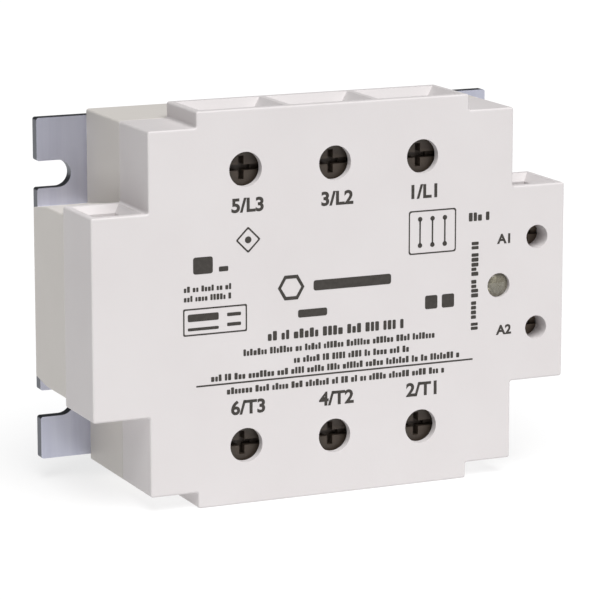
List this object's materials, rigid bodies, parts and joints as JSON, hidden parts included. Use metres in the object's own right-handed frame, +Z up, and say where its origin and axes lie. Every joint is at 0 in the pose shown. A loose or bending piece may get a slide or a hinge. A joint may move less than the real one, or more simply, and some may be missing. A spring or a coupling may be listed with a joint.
{
  "type": "solid state relay",
  "caption": "Panel-mounted three-phase solid state relay: stepped light grey housing on a slotted metal plate, with recessed saddle-clamp screw terminals, wire funnels and a status lamp.",
  "frame": {"origin": "centre of the mounting plate's rear face", "axes": "+X across the relay to the right, +Z up the panel, +Y into the panel, so the front face is towards -Y"},
  "size_m": [0.104, 0.0361, 0.08],
  "materials": {
    "housing_plastic": "moulded, fine matt",
    "plated_plate": "rolled sheet, fine linear grain",
    "sealant": "cured silicone",
    "gel": "soft cured gel",
    "copper": "bare copper",
    "tinned_copper": "tin plated",
    "clamp_steel": "dark passivated",
    "screw_steel": "dark passivated",
    "ceramic": "sintered alumina",
    "silicon": "metallised silicon",
    "circuit_board": "glass epoxy with solder mask",
    "capacitor_case": "moulded case",
    "resistor_coat": "dipped lacquer",
    "black_epoxy": "moulded epoxy",
    "capacitor_can": "shrink sleeve",
    "varistor_coat": "dipped epoxy",
    "chip_resistor": "glazed",
    "led_lens": "clear cast epoxy"
  },
  "bodies": {
    "housing": {"base_housing": "housing_plastic", "base_plate": "plated_plate", "bridge_rectifier": "black_epoxy", "busbar_L1": "tinned_copper", "busbar_L2": "tinned_copper", "busbar_L3": "tinned_copper", "busbar_T1": "tinned_copper", "busbar_T2": "tinned_copper", "busbar_T3": "tinned_copper", "ceramic_tile_1": "ceramic", "ceramic_tile_2": "ceramic", "ceramic_tile_3": "ceramic", "chip_resistors": "chip_resistor", "chip_straps": "copper", "component_leads": "tinned_copper", "control_bar_A1": "tinned_copper", "control_bar_A2": "tinned_copper", "control_board": "circuit_board", "filter_capacitor": "capacitor_can", "front_cover": "housing_plastic", "gate_pins": "tinned_copper", "input_capacitor": "capacitor_case", "input_resistors": "resistor_coat", "input_varistor": "varistor_coat", "opto_coupler_1": "black_epoxy", "opto_coupler_2": "black_epoxy", "opto_coupler_3": "black_epoxy", "sealing_bead": "sealant", "silicone_gel": "gel", "snubber_capacitors": "capacitor_case", "snubber_resistors": "resistor_coat", "status_led": "led_lens", "thyristor_pair_1": "silicon", "thyristor_pair_2": "silicon", "thyristor_pair_3": "silicon", "tile_copper_1": "copper", "tile_copper_2": "copper", "tile_copper_3": "copper"},
    "clamp_L3": {"clamp_plate_L3": "clamp_steel"},
    "screw_L3": {"terminal_screw_L3": "screw_steel"},
    "clamp_L2": {"clamp_plate_L2": "clamp_steel"},
    "screw_L2": {"terminal_screw_L2": "screw_steel"},
    "clamp_L1": {"clamp_plate_L1": "clamp_steel"},
    "screw_L1": {"terminal_screw_L1": "screw_steel"},
    "clamp_T3": {"clamp_plate_T3": "clamp_steel"},
    "screw_T3": {"terminal_screw_T3": "screw_steel"},
    "clamp_T2": {"clamp_plate_T2": "clamp_steel"},
    "screw_T2": {"terminal_screw_T2": "screw_steel"},
    "clamp_T1": {"clamp_plate_T1": "clamp_steel"},
    "screw_T1": {"terminal_screw_T1": "screw_steel"},
    "clamp_A1": {"clamp_plate_A1": "clamp_steel"},
    "screw_A1": {"terminal_screw_A1": "screw_steel"},
    "clamp_A2": {"clamp_plate_A2": "clamp_steel"},
    "screw_A2": {"terminal_screw_A2": "screw_steel"}
  },
  "joints": [
    {"name": "clamp_L3_travel", "type": "slide", "parent": "housing", "child": "clamp_L3", "axis": [0, 1, 0], "range_m": [0, 0.0048]},
    {"name": "screw_L3_turn", "type": "hinge", "parent": "clamp_L3", "child": "screw_L3", "pos_m": [-0.0194, -0.0307, 0.02794], "axis": [0, 1, 0], "range_deg": [0, 2160]},
    {"name": "clamp_L2_travel", "type": "slide", "parent": "housing", "child": "clamp_L2", "axis": [0, 1, 0], "range_m": [0, 0.0048]},
    {"name": "screw_L2_turn", "type": "hinge", "parent": "clamp_L2", "child": "screw_L2", "pos_m": [0, -0.0307, 0.02794], "axis": [0, 1, 0], "range_deg": [0, 2160]},
    {"name": "clamp_L1_travel", "type": "slide", "parent": "housing", "child": "clamp_L1", "axis": [0, 1, 0], "range_m": [0, 0.0048]},
    {"name": "screw_L1_turn", "type": "hinge", "parent": "clamp_L1", "child": "screw_L1", "pos_m": [0.0194, -0.0307, 0.02794], "axis": [0, 1, 0], "range_deg": [0, 2160]},
    {"name": "clamp_T3_travel", "type": "slide", "parent": "housing", "child": "clamp_T3", "axis": [0, 1, 0], "range_m": [0, 0.0048]},
    {"name": "screw_T3_turn", "type": "hinge", "parent": "clamp_T3", "child": "screw_T3", "pos_m": [-0.0194, -0.0307, -0.02794], "axis": [0, 1, 0], "range_deg": [0, 2160]},
    {"name": "clamp_T2_travel", "type": "slide", "parent": "housing", "child": "clamp_T2", "axis": [0, 1, 0], "range_m": [0, 0.0048]},
    {"name": "screw_T2_turn", "type": "hinge", "parent": "clamp_T2", "child": "screw_T2", "pos_m": [0, -0.0307, -0.02794], "axis": [0, 1, 0], "range_deg": [0, 2160]},
    {"name": "clamp_T1_travel", "type": "slide", "parent": "housing", "child": "clamp_T1", "axis": [0, 1, 0], "range_m": [0, 0.0048]},
    {"name": "screw_T1_turn", "type": "hinge", "parent": "clamp_T1", "child": "screw_T1", "pos_m": [0.0194, -0.0307, -0.02794], "axis": [0, 1, 0], "range_deg": [0, 2160]},
    {"name": "clamp_A1_travel", "type": "slide", "parent": "housing", "child": "clamp_A1", "axis": [0, 1, 0], "range_m": [0, 0.0036]},
    {"name": "screw_A1_turn", "type": "hinge", "parent": "clamp_A1", "child": "screw_A1", "pos_m": [0.04575, -0.0288, 0.00953], "axis": [0, 1, 0], "range_deg": [0, 2160]},
    {"name": "clamp_A2_travel", "type": "slide", "parent": "housing", "child": "clamp_A2", "axis": [0, 1, 0], "range_m": [0, 0.0036]},
    {"name": "screw_A2_turn", "type": "hinge", "parent": "clamp_A2", "child": "screw_A2", "pos_m": [0.04575, -0.0288, -0.00953], "axis": [0, 1, 0], "range_deg": [0, 2160]}
  ],
  "couplings": [
    {"joint": "screw_L3_turn", "follows": "clamp_L3_travel", "rad_per_m": 7854},
    {"joint": "screw_L2_turn", "follows": "clamp_L2_travel", "rad_per_m": 7854},
    {"joint": "screw_L1_turn", "follows": "clamp_L1_travel", "rad_per_m": 7854},
    {"joint": "screw_T3_turn", "follows": "clamp_T3_travel", "rad_per_m": 7854},
    {"joint": "screw_T2_turn", "follows": "clamp_T2_travel", "rad_per_m": 7854},
    {"joint": "screw_T1_turn", "follows": "clamp_T1_travel", "rad_per_m": 7854},
    {"joint": "screw_A1_turn", "follows": "clamp_A1_travel", "rad_per_m": 10472},
    {"joint": "screw_A2_turn", "follows": "clamp_A2_travel", "rad_per_m": 10472}
  ]
}
